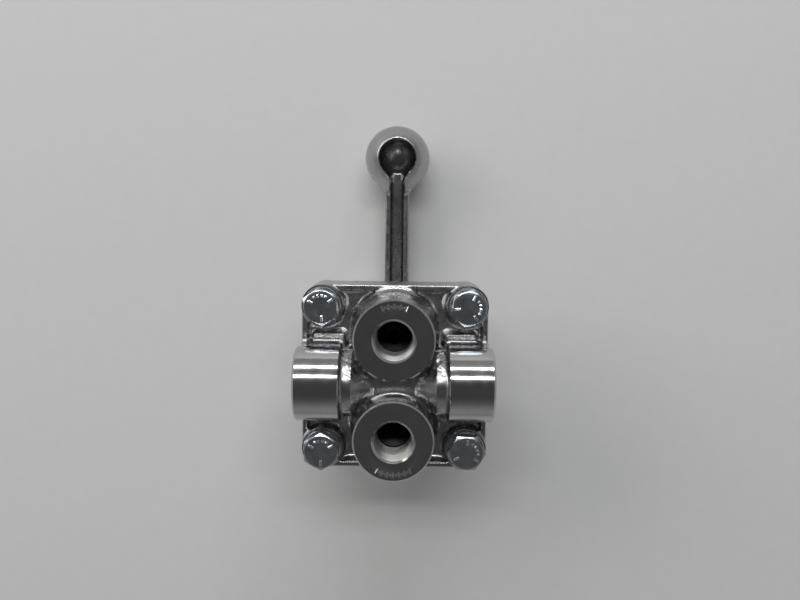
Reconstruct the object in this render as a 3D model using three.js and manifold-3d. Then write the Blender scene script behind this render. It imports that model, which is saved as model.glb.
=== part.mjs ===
// Four-way rotary hand valve: a ported body and a cover clamped by four cap screws, with a lapped rotor disc
// between them that a ball-ended lever turns. Millimetres, +Z up. The stem turns about the Z axis; z = 0 is the
// outer face of the lever's hub, which the valve lies on with its ports upwards. The lever points along +Y.
import * as THREE from "three";
import { mergeVertices } from "three/addons/utils/BufferGeometryUtils.js";
import Module from "manifold-3d";

// ---------------------------------------------------------------- driving dimensions
const SIDE = 62; // width of the square body and cover
const SCREW_PITCH = 48; // between the cap screws, both ways
const CORNER_R = (SIDE - SCREW_PITCH) / 2; // corners are concentric with the screws

const HUB_H = 14; // lever hub, from z = 0
const Z_TOWER = 14.6; // outer end of the cover's stem tower
const Z_PLATEAU = 21; // top of the cover's round dome
const Z_COVER = 30.8; // outer face of the cover's flange
const Z_JOINT = 36.8; // where cover and body meet
const Z_RIM = 45.8; // outer face of the body's flange
const Z_PAD = Z_RIM + 1.1; // screw pads stand proud of the flange
const Z_BRIDGE = Z_RIM + 14; // saddle between the two front port bosses
const Z_SIDE = Z_RIM + 10.4; // axis of the two side ports
const Z_FACE = Z_RIM + 22.3; // front port faces

const FRONT_PORT_Y = 15.7; // front ports lie at plus and minus this
const FRONT_BOSS_R = 12.7;
const FRONT_ROOT_R = 14; // where the boss meets the flange
const FRONT_ROOT_H = 6; // its flared root ends this far above the rim
const SIDE_BOSS_R = 11.9;
const SIDE_NECK_R = 9.7;
const SIDE_FACE_X = 31.4; // side port faces
const COLLAR_X = 17.1; // inner end of the side collars
const NECK_X = 13.4; // inner end of the side necks, which slope down to the bridge
const BRIDGE_X = 7;
const WALL_INSET = 0.4; // cast walls stand this far inside the turned collars

const POCKET_DEPTH = 5.5; // lightening pockets in the flange
const RIM_X = 2.5; // rim left beside the pockets, at the sides
const RIM_Y = 1.6; // and at the two ends
const RIB = 2.4; // rib beside each side collar
const PAD_R = 7.1; // round pad under each screw head

// Quarter-inch taper pipe thread, as its plain cone
const PORT_R = 6.0;
const PORT_END_R = 5.55;
const PORT_DEPTH = 14.5;
const PORT_MOUTH_R = 6.85;
const DRILL_TIP = 1.8; // cone left by the tap drill

// Quarter-inch hex cap screws and split lock washers
const SCREW_R = 3.1;
const TAPPED_R = 3.3;
const HEAD_AF = 11.11;
const HEAD_H = 4;
const HEAD_TOP_R = 5.3; // flat left inside the head's 30 degree chamfer
const TIP_CHAMFER = 0.75;
const SCREW_LENGTH = 19.05;
const LOCK_R = 6.2;
const LOCK_BORE_R = 3.35;
const LOCK_H = 1.6;
const SLIT = 0.7; // width of its slanted split

// Chamber and running gear
const CHAMBER_R = 18.5;
const Z_CHAMBER = 23.5; // ceiling of the cover's chamber
const SEAT_CIRCLE_R = 7; // cylinder passages on the lapped seat
const PASSAGE_R = 2.3;
const Z_ELBOW = 44; // where those passages turn out to the side ports
const CAVITY_DEPTH = 1.2; // exhaust slot in the rotor's face
const ROTOR_R = 13;
const ROTOR_GAP = 0.05;
const Z_ROTOR = 30.2;
const STEM_R = 6.35;
const STEM_BORE_R = 6.45;
const SQUARE = 8.8; // stem's square shank
const Z_STEM = 7.2; // outer end of the square shank
const COLLAR = { r: 12.2, z0: 24.4, z1: 27 }; // stem's thrust collar
const TANG = { w: 5, l: 13, z1: 34 };
const COIL_R = 11; // rotor spring, seated in a groove in the rotor's back
const COIL_GROOVE = { half: 0.8, depth: 1.5 };
const GROOVE = { r: 5, z0: 20.6, z1: 22.8 }; // stem's seal groove
const TRACK_R = 11.3; // detent ball's circle
const TRACK_DEPTH = 0.9;
const DIMPLE_DEPTH = 2; // of the three dimples in that track
const DETENT_BALL_R = 2.38;
const DETENT_HOLE_R = 2.55;
const Z_DETENT_HOLE = 22.2;
const STOP_R = 11; // stop pin's circle
const STOP_PIN_R = 1.5;
const STOP_PIN_DEPTH = 4.6; // in the lever's hub
const STOP_GROOVE_DEPTH = 2.8;
const THROW = THREE.MathUtils.degToRad(45); // lever travel each way

// Lever
const KNOB_R = 11.75;
const KNOB_Y = 74.2;
const KNOB_Z = KNOB_R + 0.05;
const HUB_R = 14.5;
const HUB_CHAMFER = 1;
const RECESS_R = 8.4; // recess for the handle screw
const WASHER_H = 1.2;
const Z_RECESS = HEAD_H + LOCK_H + WASHER_H;
const CUP_R = 6.7; // cored hollow of the knob
const Z_CUP = 10.8; // centre of its round bottom
const ARM = { w0: 9.3, w1: 8.2, low0: 1.2, low1: 4.4, top0: 12.4, top1: 13 };
const ARM_WALL = 1.9;
const ARM_FLOOR = 2.2;

const PAST = 1; // cutters run this far past the faces they leave
const LAP = 0.5; // joined shapes run this far into each other
const FREE = 0.15; // radial gap of a push fit

const FACETS = 28;
const BOSS_FACETS = 24;
const PORT_FACETS = 16;
const SMALL = 12; // facets of small round pieces
const PASSAGE_FACETS = 8;

// ---------------------------------------------------------------- solids from three.js shapes
const wasm = await Module();
wasm.setup();

function solid(geometry) {
  geometry.deleteAttribute("normal");
  geometry.deleteAttribute("uv");
  const merged = mergeVertices(geometry, 1e-4);
  const vertProperties = new Float32Array(merged.attributes.position.array);
  const triVerts = new Uint32Array(merged.index.array);
  return new wasm.Manifold(new wasm.Mesh({ numProp: 3, vertProperties, triVerts }));
}

function geometryOf(body) {
  const { vertProperties, triVerts } = body.getMesh();
  const geometry = new THREE.BufferGeometry();
  geometry.setAttribute("position", new THREE.BufferAttribute(new Float32Array(vertProperties), 3));
  geometry.setIndex(new THREE.BufferAttribute(new Uint32Array(triVerts), 1));
  return geometry;
}

const join = (...solids) => solids.reduce((a, b) => a.add(b));
const cut = (from, ...solids) => solids.reduce((a, b) => a.subtract(b), from);

// A cone or cylinder along Z from z0 to z1.
function cone(r0, r1, z0, z1, x = 0, y = 0, facets = FACETS) {
  const shape = new THREE.CylinderGeometry(r1, r0, z1 - z0, facets);
  return solid(shape.rotateX(Math.PI / 2).translate(x, y, (z0 + z1) / 2));
}
const rod = (r, z0, z1, x = 0, y = 0, facets = FACETS) => cone(r, r, z0, z1, x, y, facets);

// A solid turned about Z, from its outline of radii and heights.
function turned(outline, facets = FACETS) {
  const points = outline.map(([r, z]) => new THREE.Vector2(r, z));
  return solid(new THREE.LatheGeometry(points, facets).rotateX(Math.PI / 2));
}

// Lays something made along +Z at the axis of a side port, pointing outwards.
const atSidePort = (body, side) => body.rotate([0, side * 90, 0]).translate([0, 0, Z_SIDE]);

// A straight drilled hole between two points.
function drilled(r, from, to) {
  const way = new THREE.Vector3().subVectors(to, from);
  const shape = new THREE.CylinderGeometry(r, r, way.length(), PASSAGE_FACETS);
  const turn = new THREE.Quaternion().setFromUnitVectors(new THREE.Vector3(0, 1, 0), way.clone().normalize());
  shape.applyQuaternion(turn).translate(...way.multiplyScalar(0.5).add(from).toArray());
  return solid(shape);
}

function slab(x0, x1, y0, y1, z0, z1) {
  const shape = new THREE.BoxGeometry(x1 - x0, y1 - y0, z1 - z0);
  return solid(shape.translate((x0 + x1) / 2, (y0 + y1) / 2, (z0 + z1) / 2));
}

const ball = (r, x, y, z, facets) =>
  solid(new THREE.SphereGeometry(r, facets, facets / 2).rotateX(Math.PI / 2).translate(x, y, z));

function extruded(shape, z0, z1, curveSegments = 4) {
  const body = new THREE.ExtrudeGeometry(shape, { depth: z1 - z0, bevelEnabled: false, curveSegments });
  return solid(body.translate(0, 0, z0));
}

function roundedSquare(width, height, r) {
  const x = width / 2 - r;
  const y = height / 2 - r;
  const shape = new THREE.Shape();
  shape.absarc(x, y, r, 0, Math.PI / 2);
  shape.absarc(-x, y, r, Math.PI / 2, Math.PI);
  shape.absarc(-x, -y, r, Math.PI, 1.5 * Math.PI);
  shape.absarc(x, -y, r, 1.5 * Math.PI, 2 * Math.PI);
  return shape;
}

const polygon = (points) => new THREE.Shape(points.map(([x, y]) => new THREE.Vector2(x, y)));

// A ring of rectangular section.
const ring = (inner, outer, z0, z1, facets = FACETS) =>
  cut(rod(outer, z0, z1, 0, 0, facets), rod(inner, z0 - PAST, z1 + PAST, 0, 0, facets));

const CORNERS = [
  [-1, 1],
  [1, 1],
  [-1, -1],
  [1, -1],
].map(([x, y]) => [(x * SCREW_PITCH) / 2, (y * SCREW_PITCH) / 2]);

const atAngle = (r, angle) => [r * Math.cos(angle), r * Math.sin(angle)];

// ---------------------------------------------------------------- body casting
function frontBoss(y) {
  const outline = [
    [0, Z_JOINT],
    [FRONT_ROOT_R, Z_JOINT],
    [FRONT_ROOT_R, Z_RIM - POCKET_DEPTH],
    [FRONT_BOSS_R, Z_RIM + FRONT_ROOT_H],
    [FRONT_BOSS_R, Z_FACE],
    [0, Z_FACE],
  ];
  return turned(outline, BOSS_FACETS).translate([0, y, 0]);
}

// A side port's collar and neck, with the cast walls that carry them down to the flange.
function sideBoss(side) {
  const outline = [
    [0, BRIDGE_X],
    [Z_BRIDGE - Z_SIDE, BRIDGE_X],
    [SIDE_NECK_R, NECK_X],
    [SIDE_NECK_R, COLLAR_X],
    [SIDE_BOSS_R, COLLAR_X],
    [SIDE_BOSS_R, SIDE_FACE_X],
    [0, SIDE_FACE_X],
  ];
  const wall = (near, far, half) =>
    slab(Math.min(side * near, side * far), Math.max(side * near, side * far), -half, half, Z_JOINT, Z_SIDE);
  return join(
    atSidePort(turned(outline, BOSS_FACETS), side),
    wall(COLLAR_X + LAP, SIDE / 2 - LAP, SIDE_BOSS_R - WALL_INSET),
    wall(BRIDGE_X, COLLAR_X + 2 * LAP, SIDE_NECK_R - WALL_INSET),
  );
}

function flangePockets() {
  const inner = roundedSquare(SIDE - 2 * RIM_X, SIDE - 2 * RIM_Y, CORNER_R - RIM_Y);
  const y = SIDE_BOSS_R + RIB;
  const kept = [
    ...CORNERS.map(([cx, cy]) => rod(PAD_R, Z_JOINT, Z_PAD + PAST, cx, cy, PORT_FACETS)),
    slab(COLLAR_X - PAST, SIDE, -y, y, Z_JOINT, Z_PAD + PAST),
    slab(-SIDE, PAST - COLLAR_X, -y, y, Z_JOINT, Z_PAD + PAST),
  ];
  return cut(extruded(inner, Z_RIM - POCKET_DEPTH, Z_RIM + PAST, 3), ...kept);
}

// A tapered port hole with a 45 degree mouth, bored down -Z from a face at z = 0.
function portHole() {
  const outline = [
    [0, -PORT_DEPTH - DRILL_TIP],
    [PASSAGE_R, -PORT_DEPTH - DRILL_TIP],
    [PORT_END_R, -PORT_DEPTH],
    [PORT_R, PORT_R - PORT_MOUTH_R],
    [PORT_MOUTH_R + PAST, PAST],
    [0, PAST],
  ];
  return turned(outline, PORT_FACETS);
}

// The ways from the four ports to the lapped seat. Exhaust leaves its centre, the cylinder ports open at
// 45 degrees on either side of the +Y axis, and pressure enters the chamber outside the rotor.
function passages() {
  const point = (x, y, z) => new THREE.Vector3(x, y, z);
  const below = Z_JOINT - PAST;
  const portEnd = Z_FACE - PORT_DEPTH;
  const crossR = PASSAGE_R - 0.1; // slightly narrower, so that no two walls just touch
  const cylinderWay = (side) => {
    const [x, y] = atAngle(SEAT_CIRCLE_R, Math.PI / 2 - side * THROW);
    return [
      drilled(PASSAGE_R, point(x, y, Z_ELBOW), point(x, y, below)),
      drilled(crossR, point(side * (SIDE_FACE_X - PORT_DEPTH), 0, Z_SIDE), point(x, y, Z_ELBOW - PAST)),
    ];
  };
  return [
    drilled(crossR, point(0, FRONT_PORT_Y, portEnd), point(0, 0, Z_JOINT + PAST)),
    drilled(PASSAGE_R, point(0, 0, Z_JOINT + PASSAGE_R), point(0, 0, below)),
    drilled(PASSAGE_R, point(0, -FRONT_PORT_Y, portEnd), point(0, -FRONT_PORT_Y, below)),
    ...cylinderWay(1),
    ...cylinderWay(-1),
  ];
}

function portBody() {
  const flange = extruded(roundedSquare(SIDE, SIDE, CORNER_R), Z_JOINT, Z_RIM);
  return cut(
    join(
      cut(flange, flangePockets()),
      ...CORNERS.map(([x, y]) => rod(PAD_R - LAP, Z_RIM - LAP, Z_PAD, x, y, PORT_FACETS)),
      slab(-BRIDGE_X - LAP, BRIDGE_X + LAP, -FRONT_PORT_Y, FRONT_PORT_Y, Z_JOINT, Z_BRIDGE),
      frontBoss(FRONT_PORT_Y),
      frontBoss(-FRONT_PORT_Y),
      sideBoss(1),
      sideBoss(-1),
    ),
    ...CORNERS.map(([x, y]) => rod(TAPPED_R, Z_JOINT - PAST, Z_PAD + PAST, x, y, SMALL)),
    ...[-1, 1].flatMap((side) => [
      portHole().translate([0, side * FRONT_PORT_Y, Z_FACE]),
      atSidePort(portHole().translate([0, 0, SIDE_FACE_X]), side),
    ]),
    ...passages(),
  );
}

// ---------------------------------------------------------------- cover
const DOME = { r0: 23.5, r1: 21.5 };
const TOWER = { r0: 16, r1: 15 };
const COVER_PAD_H = 2.6; // screw bosses behind the cover's flange
const RIB_W = 4; // ribs from the dome to those bosses
const RIB_H = 3.6;
const BUSHING = { r: 7.8, z0: Z_TOWER + 0.3, z1: 20 };
const SEAL = { r: 21.2, section: 1.0, groove: 1.35, depth: 1.8 };

// An arc-shaped groove in the tower's end, for the stop pin's travel.
function stopGroove() {
  const half = THROW + Math.asin((STOP_PIN_R + 0.25) / STOP_R); // the pin stops just short of its ends
  const width = STOP_PIN_R + 0.35;
  const shape = new THREE.Shape();
  shape.absarc(0, 0, STOP_R + width, -Math.PI / 2 - half, -Math.PI / 2 + half, false);
  shape.absarc(0, 0, STOP_R - width, -Math.PI / 2 + half, -Math.PI / 2 - half, true);
  return extruded(shape, Z_TOWER - PAST, Z_TOWER + STOP_GROOVE_DEPTH, 6);
}

function cornerRib([x, y]) {
  const length = Math.hypot(x, y);
  const rib = slab(DOME.r1 - RIB_W, length, -RIB_W / 2, RIB_W / 2, Z_COVER - RIB_H, Z_COVER + LAP);
  return rib.rotate([0, 0, THREE.MathUtils.radToDeg(Math.atan2(y, x))]);
}

function cover() {
  const outside = join(
    extruded(roundedSquare(SIDE, SIDE, CORNER_R), Z_COVER, Z_JOINT),
    ...CORNERS.map(([x, y]) => rod(CORNER_R, Z_COVER - COVER_PAD_H, Z_COVER + LAP, x, y)),
    ...CORNERS.map(cornerRib),
    cone(DOME.r1, DOME.r0, Z_PLATEAU, Z_COVER + LAP),
    cone(TOWER.r1, TOWER.r0, Z_TOWER, Z_PLATEAU + LAP),
  );
  return cut(
    outside,
    rod(CHAMBER_R, Z_CHAMBER, Z_JOINT + PAST),
    rod(STEM_BORE_R, Z_TOWER - PAST, Z_CHAMBER + PAST),
    rod(BUSHING.r + FREE, Z_TOWER - PAST, BUSHING.z1 + FREE),
    stopGroove(),
    rod(DETENT_HOLE_R, Z_TOWER - PAST, Z_DETENT_HOLE, 0, TRACK_R, SMALL),
    ring(SEAL.r - SEAL.groove, SEAL.r + SEAL.groove, Z_JOINT - SEAL.depth, Z_JOINT + PAST),
    ...CORNERS.map(([x, y]) => rod(TAPPED_R, Z_COVER - COVER_PAD_H - PAST, Z_JOINT + PAST, x, y, SMALL)),
  );
}

// ---------------------------------------------------------------- lever
// Half width of the arm at y, for a width w0 at the hub and w1 at the knob.
const halfWidth = (y, w0, w1) => (w0 + ((w1 - w0) * y) / KNOB_Y) / 2;

// A tapered bar between the hub and the knob: its plan, crossed with its side view.
function bar(w0, w1, low0, low1, top0, top1, yEnd) {
  const start = halfWidth(0, w0, w1);
  const end = halfWidth(yEnd, w0, w1);
  const plan = polygon([
    [start, 0],
    [end, yEnd],
    [-end, yEnd],
    [-start, 0],
  ]);
  const profile = polygon([
    [0, low0],
    [yEnd, low1],
    [yEnd, top1],
    [0, top0],
  ]);
  const side = new THREE.ExtrudeGeometry(profile, { depth: 40, bevelEnabled: false });
  side.translate(0, 0, -20).rotateX(Math.PI / 2).rotateZ(Math.PI / 2);
  return extruded(plan, -20, 60).intersect(solid(side));
}

function keyhole() {
  const slot = bar(ARM.w0 - 2 * ARM_WALL, ARM.w1 - 2 * ARM_WALL, ARM.low0 + ARM_FLOOR, ARM.low1 + ARM_FLOOR,
    30, 30, KNOB_Y);
  const cup = join(rod(CUP_R, Z_CUP, 30, 0, KNOB_Y, 24), ball(CUP_R, 0, KNOB_Y, Z_CUP, 24));
  return cut(slot, rod(HUB_R - PAST, 0, HUB_H)).add(cup);
}

// Three dimples on the hub's inner face, joined by the shallow track the detent ball runs in.
function detentTrack() {
  const width = DETENT_BALL_R + 0.12;
  const shape = new THREE.Shape();
  const half = THROW + Math.asin(width / TRACK_R);
  shape.absarc(0, 0, TRACK_R + width, Math.PI / 2 - half, Math.PI / 2 + half, false);
  shape.absarc(0, 0, TRACK_R - width, Math.PI / 2 + half, Math.PI / 2 - half, true);
  const dimples = [-THROW, 0, THROW].map((turn) => {
    const [x, y] = atAngle(TRACK_R, Math.PI / 2 + turn);
    return cone(0.4, width - 0.2, HUB_H - DIMPLE_DEPTH, HUB_H - TRACK_DEPTH + 0.2, x, y, SMALL);
  });
  return join(extruded(shape, HUB_H - TRACK_DEPTH, HUB_H + PAST, 6), ...dimples);
}

function lever() {
  const hub = join(cone(HUB_R - HUB_CHAMFER, HUB_R, 0, HUB_CHAMFER), rod(HUB_R, HUB_CHAMFER, HUB_H));
  const arm = bar(ARM.w0, ARM.w1, ARM.low0, ARM.low1, ARM.top0, ARM.top1, KNOB_Y);
  const [pinX, pinY] = atAngle(STOP_R, -Math.PI / 2);
  const half = SQUARE / 2 + 0.1;
  return cut(
    join(hub, arm, ball(KNOB_R, 0, KNOB_Y, KNOB_Z, FACETS)),
    keyhole(),
    rod(RECESS_R, -PAST, Z_RECESS),
    slab(-half, half, -half, half, Z_RECESS - PAST, HUB_H + PAST),
    rod(STOP_PIN_R + 0.1, HUB_H - STOP_PIN_DEPTH - FREE, HUB_H + PAST, pinX, pinY, SMALL),
    detentTrack(),
  );
}

// ---------------------------------------------------------------- running gear
function stem() {
  const half = SQUARE / 2;
  const shoulder = HUB_H + 0.3;
  const shaft = join(
    slab(-half, half, -half, half, Z_STEM, shoulder),
    rod(STEM_R, shoulder, COLLAR.z0 + LAP),
    rod(COLLAR.r, COLLAR.z0, COLLAR.z1),
    slab(-TANG.w / 2, TANG.w / 2, -TANG.l / 2, TANG.l / 2, COLLAR.z1 - LAP, TANG.z1),
  );
  const tapped = rod(TAPPED_R, Z_STEM - PAST, GROOVE.z0 - LAP, 0, 0, SMALL);
  return cut(shaft, tapped, ring(GROOVE.r, STEM_R + PAST, GROOVE.z0, GROOVE.z1));
}

// The lapped disc. Its blind slot joins the exhaust to one cylinder passage, and one of its two through
// holes lets pressure reach the other. All are closed off while the lever is in the middle.
function rotorDisc() {
  const face = Z_JOINT - ROTOR_GAP;
  const deep = face - CAVITY_DEPTH;
  const half = TANG.w / 2 + FREE;
  const slot = TANG.l / 2 + 2 * FREE;
  return cut(
    rod(ROTOR_R, Z_ROTOR, face),
    slab(-half, half, -slot, slot, Z_ROTOR - PAST, TANG.z1 + 2 * FREE),
    ring(COIL_R - COIL_GROOVE.half, COIL_R + COIL_GROOVE.half, Z_ROTOR - PAST, Z_ROTOR + COIL_GROOVE.depth),
    rod(PASSAGE_R, deep, face + PAST, 0, 0, SMALL),
    slab(-PASSAGE_R, PASSAGE_R, 0, SEAT_CIRCLE_R, deep, face + PAST),
    rod(PASSAGE_R, deep, face + PAST, 0, SEAT_CIRCLE_R, SMALL),
    rod(PASSAGE_R, Z_ROTOR - PAST, face + PAST, SEAT_CIRCLE_R, 0, SMALL),
    rod(PASSAGE_R, Z_ROTOR - PAST, face + PAST, -SEAT_CIRCLE_R, 0, SMALL),
  );
}

// A round wire wound on a helix, by sweeping its section along the curve.
class Helix extends THREE.Curve {
  constructor(radius, z0, z1, turns) {
    super();
    Object.assign(this, { radius, z0, z1, turns });
  }
  getPoint(t, target = new THREE.Vector3()) {
    const angle = 2 * Math.PI * this.turns * t;
    const z = this.z0 + (this.z1 - this.z0) * t;
    return target.set(this.radius * Math.cos(angle), this.radius * Math.sin(angle), z);
  }
}

function coilSpring(radius, wire, z0, z1, turns) {
  const section = new THREE.Shape().absarc(0, 0, wire, 0, 2 * Math.PI);
  const extrudePath = new Helix(radius, z0 + wire, z1 - wire, turns);
  const steps = Math.round(turns * 16);
  return solid(new THREE.ExtrudeGeometry(section, { extrudePath, steps, curveSegments: 3, bevelEnabled: false }));
}

const sealRing = (r, section) => solid(new THREE.TorusGeometry(r, section, 6, FACETS));

// ---------------------------------------------------------------- fasteners
// A hex cap screw along -Z with the underside of its head at z = 0.
function capScrew(length) {
  const acrossCorners = HEAD_AF / Math.cos(Math.PI / 6);
  const hexagon = rod(acrossCorners / 2, 0, HEAD_H, 0, 0, 6);
  const outerR = acrossCorners / 2 + FREE;
  const drop = (outerR - HEAD_TOP_R) * Math.tan(Math.PI / 6);
  const chamfered = join(
    rod(outerR, -PAST, HEAD_H - drop),
    cone(outerR, HEAD_TOP_R, HEAD_H - drop, HEAD_H),
  );
  const tip = TIP_CHAMFER - length;
  return join(
    hexagon.intersect(chamfered),
    rod(SCREW_R, tip, LAP, 0, 0, SMALL),
    cone(SCREW_R - TIP_CHAMFER, SCREW_R, -length, tip, 0, 0, SMALL),
  );
}

function splitWasher() {
  const slit = slab(0, LOCK_R + PAST, -SLIT / 2, SLIT / 2, -LOCK_H, 2 * LOCK_H).rotate([35, 0, 0]);
  return cut(ring(LOCK_BORE_R, LOCK_R, 0, LOCK_H, SMALL), slit);
}

// ---------------------------------------------------------------- materials
const finish = (color, roughness, metalness) => new THREE.MeshStandardMaterial({ color, roughness, metalness });
const CAST = finish(0xb4b2ad, 0.35, 1);
const ZINC = finish(0xa9b0b4, 0.3, 1);
const STEEL = finish(0x8d9094, 0.35, 1);
const BRONZE = finish(0xa9793f, 0.45, 1);
const RUBBER = finish(0x1b1b1c, 0.85, 0);
const NYLON = finish(0xe6e2d6, 0.6, 0);

// ---------------------------------------------------------------- assembly
const valve = new THREE.Group();

function add(name, body, material, { position = [0, 0, 0], rotation = [0, 0, 0], parent = valve } = {}) {
  const mesh = new THREE.Mesh(geometryOf(body), material);
  mesh.name = name;
  mesh.position.set(...position);
  mesh.rotation.set(...rotation);
  parent.add(mesh);
  return mesh;
}

add("port_body", portBody(), CAST);
add("cover", cover(), CAST);
add("cover_seal_ring", sealRing(SEAL.r, SEAL.section - 0.15), RUBBER, {
  position: [0, 0, Z_JOINT - SEAL.section + 0.1],
});
add("stem_bushing", ring(STEM_BORE_R, BUSHING.r, BUSHING.z0, BUSHING.z1), BRONZE);
add("thrust_washer", ring(STEM_R + FREE, COLLAR.r, Z_CHAMBER + ROTOR_GAP, COLLAR.z0 - ROTOR_GAP), NYLON);

CORNERS.forEach(([x, y], i) => {
  const station = new THREE.Group();
  station.position.set(x, y, Z_PAD);
  station.rotation.z = 0.4 * i;
  valve.add(station);
  add(`lock_washer_${i + 1}`, splitWasher(), ZINC, { parent: station });
  add(`cover_screw_${i + 1}`, capScrew(SCREW_LENGTH), ZINC, { position: [0, 0, LOCK_H], parent: station });
});

add("detent_ball", ball(DETENT_BALL_R, 0, 0, 0, 16), STEEL, {
  position: [0, TRACK_R, HUB_H - TRACK_DEPTH + 0.05 + DETENT_BALL_R],
});
add("detent_spring", coilSpring(1.75, 0.3, 18, Z_DETENT_HOLE - 0.1, 3.5), STEEL, { position: [0, TRACK_R, 0] });

add("lever", lever(), CAST);
add("stem", stem(), STEEL);
add("stem_seal_ring", sealRing(5.72, 0.65), RUBBER, { position: [0, 0, (GROOVE.z0 + GROOVE.z1) / 2] });
add("stop_pin", rod(STOP_PIN_R, HUB_H - STOP_PIN_DEPTH, HUB_H + 3, 0, 0, SMALL), STEEL, {
  position: [0, -STOP_R, 0],
});
add("rotor_disc", rotorDisc(), STEEL);
add("rotor_spring", coilSpring(COIL_R, 0.5, COLLAR.z1 + 0.05, Z_ROTOR + 1.45, 2.4), STEEL);

const handleFastening = new THREE.Group();
handleFastening.rotation.y = Math.PI; // its screw points up into the stem
handleFastening.position.z = Z_RECESS;
valve.add(handleFastening);
add("handle_washer", ring(SCREW_R + 0.3, 7.7, 0, WASHER_H, SMALL), ZINC, { parent: handleFastening });
add("handle_lock_washer", splitWasher(), ZINC, { position: [0, 0, WASHER_H], parent: handleFastening });
add("handle_screw", capScrew(15.9), ZINC, { position: [0, 0, WASHER_H + LOCK_H], parent: handleFastening });

export default valve;
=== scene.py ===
# A four-way rotary hand valve, lying on its lever with its ports upwards. The castings are polygonised from
# distance functions, so that their fillets run together as cast ones do, and are then machined with booleans.
# Shapes are worked out in millimetres, and every mesh is stored in metres.
import math
import bpy
import numpy as np
import openvdb
from mathutils import Matrix, Vector


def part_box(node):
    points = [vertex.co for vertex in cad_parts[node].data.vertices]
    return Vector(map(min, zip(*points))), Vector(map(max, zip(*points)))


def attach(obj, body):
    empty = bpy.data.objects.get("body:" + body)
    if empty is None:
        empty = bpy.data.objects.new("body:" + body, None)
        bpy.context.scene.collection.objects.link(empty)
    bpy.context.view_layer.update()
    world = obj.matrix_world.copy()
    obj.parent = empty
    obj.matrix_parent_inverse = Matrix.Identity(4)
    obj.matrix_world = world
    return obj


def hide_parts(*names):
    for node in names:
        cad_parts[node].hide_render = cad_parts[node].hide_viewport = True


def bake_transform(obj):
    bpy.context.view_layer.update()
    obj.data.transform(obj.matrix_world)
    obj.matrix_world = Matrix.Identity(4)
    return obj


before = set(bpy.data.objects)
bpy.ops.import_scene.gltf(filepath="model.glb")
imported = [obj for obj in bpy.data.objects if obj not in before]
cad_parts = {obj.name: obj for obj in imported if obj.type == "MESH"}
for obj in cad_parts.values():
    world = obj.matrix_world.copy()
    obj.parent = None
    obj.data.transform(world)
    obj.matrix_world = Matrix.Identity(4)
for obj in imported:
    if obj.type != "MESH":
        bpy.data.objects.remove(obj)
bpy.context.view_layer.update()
MM = 0.001


def span(node):
    """Lowest and highest corners of a CAD node, in millimetres."""
    return [np.array(corner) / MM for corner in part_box(node)]


# ---------------------------------------------------------------- sizes
# The outer sizes come from the frame, and what is measured from them is in millimetres.
BODY_LOW, BODY_HIGH = span("port_body")
COVER_LOW, COVER_HIGH = span("cover")
LEVER_TIP = span("lever")[1][1]
HALF = BODY_HIGH[1]  # half width of the square body
SCREW_AT = 24.0  # cap screws at plus and minus this, both ways
CORNER_R = HALF - SCREW_AT
Z_JOINT = BODY_LOW[2]  # where the cover and the body meet
Z_FACE = BODY_HIGH[2]  # faces of the front ports
Z_RIM = Z_FACE - 22.3  # top of the flange
Z_PAD = Z_RIM + 1.1  # top of the pads under the cap screws
Z_FLOOR = Z_RIM - 3.8  # floor of the flange's pockets
Z_BRIDGE = Z_RIM + 14  # top of the metal between the front ports
Z_SIDE = Z_RIM + 10.4  # axis of the side ports
PORT_Y = 15.7  # axes of the front ports, at plus and minus this
FRONT_R = 12.7
SIDE_R = 11.9
SIDE_FACE = BODY_HIGH[0]
COLLAR_X = 17.1  # inner end of the side ports' turned collars
NECK_R = 9.7

# facets around a full turn
SEGMENTS = 96
MEDIUM_SEGMENTS = 48
SMALL_SEGMENTS = 32
DRILL_SEGMENTS = 24

# ---------------------------------------------------------------- distance functions
# Each takes arrays of points, and is negative inside.


def meet(a, b, edge):
    """Where a and b overlap, with the corner between them rounded by edge."""
    a, b = a + edge, b + edge
    return np.hypot(np.maximum(a, 0), np.maximum(b, 0)) + np.minimum(np.maximum(a, b), 0) - edge


def melt(a, b, fillet):
    """a and b together, with a fillet of about that size between them."""
    h = np.maximum(fillet - np.abs(a - b), 0) / fillet
    return np.minimum(a, b) - h * h * fillet / 4


def carve(a, b, edge):
    """a without b, with its new edges rounded."""
    return -melt(-a, b, edge)


def between(v, low, high):
    """A slab, for v between low and high."""
    return np.abs(v - (low + high) / 2) - (high - low) / 2


def rectangle(u, v, half_u, half_v, r):
    """A rectangle around the origin, with corners of radius r."""
    return meet(np.abs(u) - half_u, np.abs(v) - half_v, r)


def waves(x, y, z, size, seed):
    """A smooth random field between about -1 and 1, with bumps of the given size."""
    count = 10
    rng = np.random.default_rng(seed)
    total = np.zeros_like(x)
    for _ in range(count):
        way = rng.normal(size=3)
        way *= 2 * math.pi / (size * rng.uniform(0.8, 1.6) * np.linalg.norm(way))
        total += np.sin(way[0] * x + way[1] * y + way[2] * z + rng.uniform(0, 6.28))
    return total / math.sqrt(count)


def slope_of(distance, points, step):
    """The distances at some points, and the distance function's gradient there."""
    steps = np.eye(3) * step
    slope = [distance(*(points + s).T) - distance(*(points - s).T) for s in steps]
    return distance(*points.T), np.stack(slope, 1) / (2 * step)


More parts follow.
